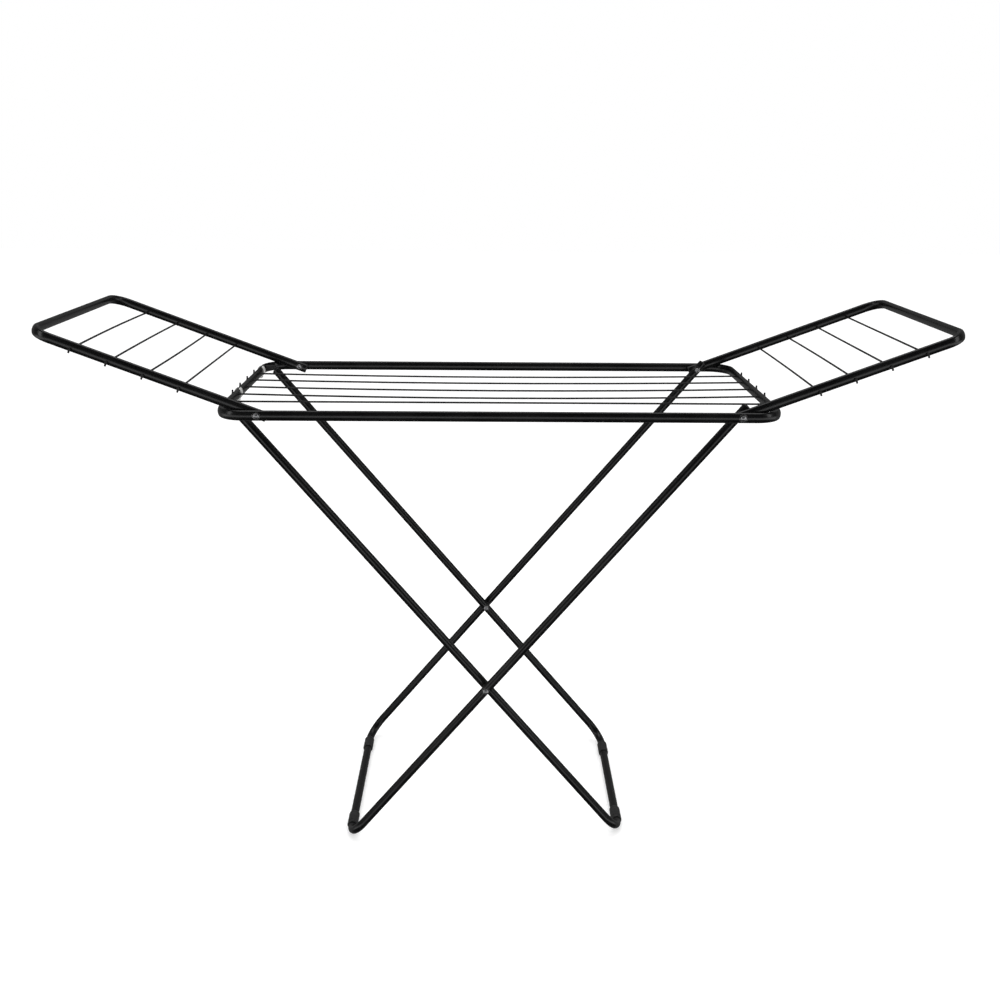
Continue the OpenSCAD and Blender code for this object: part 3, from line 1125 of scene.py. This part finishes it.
@dataclass
class Hardware:
    """Rivets and washers of the three hinge axes."""

    finishes: Finishes
    rivet: Rivet = Rivet()
    washer: Washer = Washer()
    pivot_x: float = 461.0
    pivot_z: float = 945.0
    cross_x: float = -25.207
    cross_z: float = 360.4
    rail_outer: float = 273.5
    rail_inner: float = 261.5
    arm_inner: float = 247.9
    leg_a_outer: float = 246.1
    leg_a_inner: float = 228.1
    leg_b_inner: float = 207.0
    side_gap: float = 0.3
    rail_washer: float = 1.3
    leg_washer: float = 1.2
    spacer: float = 2.8

    def build(self) -> None:
        """Makes all of it, front and back."""
        left, right = (-self.pivot_x, self.pivot_z), (self.pivot_x, self.pivot_z)
        cross = (self.cross_x, self.cross_z)
        rail, arm, g = self.rail_inner, self.arm_inner - self.side_gap, self.side_gap
        for side in Side:
            self.make_rivet("left_hinge", side, left, self.rail_outer, arm, "frame")
            self.make_rivet("right_hinge", side, right, self.rail_outer, self.leg_a_inner - g, "frame")
            self.make_rivet("scissor", side, cross, self.leg_a_outer, self.leg_b_inner - g, "leg_a")
            self.make_washer("left_hinge_washer", side, left, rail, self.rail_washer, "left_hinge_washers")
            self.make_washer("right_rail_washer", side, right, rail, self.rail_washer, "right_hinge_washers")
            self.make_washer("right_leg_washer", side, right, arm, self.leg_washer, "right_hinge_washers")
            self.make_washer("scissor_spacer", side, cross, self.leg_a_inner, self.spacer, "scissor_spacers")

    def make_rivet(self, name: str, side: Side, axis: Point2, outer: float, inner: float, body: str) -> None:
        """Makes one rivet.

        Args:
            name: the hinge's name, as in its CAD node.
            side: front or back.
            axis: X and Z of the hinge axis.
            outer: distance from the middle of the rack to the underside of the outer head.
            inner: the same for the rolled end.
            body: the CAD body that holds the rivet.
        """
        place = stand((axis[0], side.value * outer, axis[1]), (0, side.value, 0), (1, 0, 0))
        piece = self.rivet.shell(outer - inner).build(f"{name}_rivet_{side.word}", place, 50)
        steel = self.finishes.steel.material(f"{name}_rivet_steel_{side.word}")
        install(piece, steel, body, "bright_steel", f"{name}_rivets")

    def make_washer(self, name: str, side: Side, axis: Point2, outer: float, thickness: float, node: str) -> None:
        """Makes one washer.

        Args:
            name: the piece's name.
            side: front or back.
            axis: X and Z of the hinge axis.
            outer: distance from the middle of the rack to the washer's outer face.
            thickness: its thickness.
            node: the CAD node that it stands for.
        """
        place = stand((axis[0], side.value * outer, axis[1]), (0, -side.value, 0), (1, 0, 0))
        piece = self.washer.shell(thickness).build(f"{name}_{side.word}", place)
        plastic = self.finishes.plastic.material(f"{name}_plastic_{side.word}")
        install(piece, plastic, "leg_a" if node == "scissor_spacers" else "frame", "black_plastic", node)


# ---------------------------------------------------------------------------------------------------------
# Studio
# ---------------------------------------------------------------------------------------------------------


@dataclass(frozen=True)
class Softbox:
    """A rectangular studio light."""

    name: str
    place: Colour
    aim: Colour
    width: float
    height: float
    power: float

    def build(self) -> None:
        """Puts the light up."""
        light = bpy.data.lights.new(self.name, "AREA")
        light.shape = "RECTANGLE"
        light.size, light.size_y, light.energy = self.width, self.height, self.power
        lamp = bpy.data.objects.new(self.name, light)
        lamp.location = self.place
        lamp.rotation_euler = (Vector(self.aim) - Vector(self.place)).to_track_quat("-Z", "Y").to_euler()
        bpy.context.scene.collection.objects.link(lamp)


@dataclass
class Studio:
    """White room: a pale floor, a bright surround, softboxes and the camera."""

    floor_size: float = 30.0
    floor_tone: Colour = (0.88, 0.88, 0.88)
    floor_glow: float = 0.3
    softboxes: Sequence[Softbox] = (
        Softbox("overhead_box", (0.0, 0.2, 3.4), (0.0, 0.0, 0.9), 3.2, 1.6, 26.0),
        Softbox("left_box", (-3.2, -1.6, 1.9), (0.0, 0.0, 0.7), 0.9, 2.2, 12.0),
        Softbox("right_box", (3.2, -1.6, 1.9), (0.0, 0.0, 0.7), 0.9, 2.2, 12.0),
    )
    camera_place: Colour = (-0.0257, -2.392, 1.425)
    pitch_deg: float = 16.88
    yaw_deg: float = 0.714
    roll_deg: float = 0.454
    lens_mm: float = 41.285

    def build(self) -> None:
        """Makes the whole studio."""
        self.make_floor()
        self.make_surround()
        for box in self.softboxes:
            box.build()
        self.make_camera()
        bpy.context.scene.view_settings.view_transform = "Standard"
        LOG.info("studio: floor, surround, %d softboxes and camera", len(self.softboxes))

    def make_floor(self) -> None:
        """Makes the plain pale floor, just under the soles."""
        half = self.floor_size / 2
        mesh = bpy.data.meshes.new("studio_floor")
        corners = [(-half, -half, 0), (half, -half, 0), (half, half, 0), (-half, half, 0)]
        mesh.from_pydata(corners, [], [(0, 1, 2, 3)])
        floor = bpy.data.objects.new("studio_floor", mesh)
        floor.location.z = -0.0002
        bpy.context.scene.collection.objects.link(floor)
        material, shader = new_shader("studio_paper")
        fibre = shader.noise(shader.place(), 3, 3)
        shader.surface(
            Base_Color=self.floor_tone,
            Roughness=0.9 + fibre * 0.05,
            Emission_Color=self.floor_tone,
            Emission_Strength=self.floor_glow,
            Normal=shader.relief(fibre, 0.02),
        )
        dress(floor, material)
        floor.visible_glossy = False

    def make_surround(self) -> None:
        """Lights the room: white all round, but reflected as a dim room with a pale strip low in front."""
        world = bpy.data.worlds.new("studio_surround")
        bpy.context.scene.world = world
        shader = ShaderTree(world)
        direction = shader.add("ShaderNodeTexCoord", result="Generated")
        height = direction.axis("Z")
        strip = height.step(-0.46, -0.34) * height.step(-0.08, -0.2)
        front = strip.blend((0.02, 0.02, 0.0205), (1.3, 1.3, 1.31))
        room = direction.axis("Y").step(-0.1, 0.4).blend(front, (0.16, 0.16, 0.16))
        glossy = shader.add("ShaderNodeLightPath", result="Is Glossy Ray")
        colour = glossy.blend((1.0, 1.0, 1.0), room)
        sky = shader.add("ShaderNodeBackground", {}, {"Color": colour, "Strength": 1.0})
        shader.add("ShaderNodeOutputWorld", {}, {"Surface": sky})

    def make_camera(self) -> None:
        """Sets the camera up in front of the rack, a little above it."""
        pitch, yaw, roll = (math.radians(a) for a in (self.pitch_deg, self.yaw_deg, self.roll_deg))
        ahead = Vector((math.sin(yaw) * math.cos(pitch), math.cos(yaw) * math.cos(pitch), -math.sin(pitch)))
        right = Vector((math.cos(yaw), -math.sin(yaw), 0.0))
        up = right.cross(ahead)
        x = right * math.cos(roll) + up * math.sin(roll)
        y = up * math.cos(roll) - right * math.sin(roll)
        data = bpy.data.cameras.new("camera")
        data.lens, data.sensor_width = self.lens_mm, 36.0
        camera = bpy.data.objects.new("camera", data)
        camera.matrix_world = Matrix.Translation(self.camera_place) @ Matrix((x, y, -ahead)).transposed().to_4x4()
        bpy.context.scene.collection.objects.link(camera)
        bpy.context.scene.camera = camera


def main() -> None:
    """Builds the studio, then the rack's pieces in order."""
    logging.basicConfig(level=logging.INFO, format="%(message)s")
    finishes = Finishes()
    hinge, cross = (461.0, 945.0), (-25.207, 360.4)
    studio = Studio()
    studio.build()
    CentralFrame(finishes).build()
    Wing(finishes, "left", -1).build()
    Wing(finishes, "right", 1).build()
    LegFrame(finishes, "a", 1, [hinge, cross], half_width=237.1, upper=780.36).build()
    SeatedLegFrame(finishes, "b", -1, [cross], half_width=216.0, upper=757.0).build()
    Hardware(finishes).build()


if __name__ == "__main__":
    main()
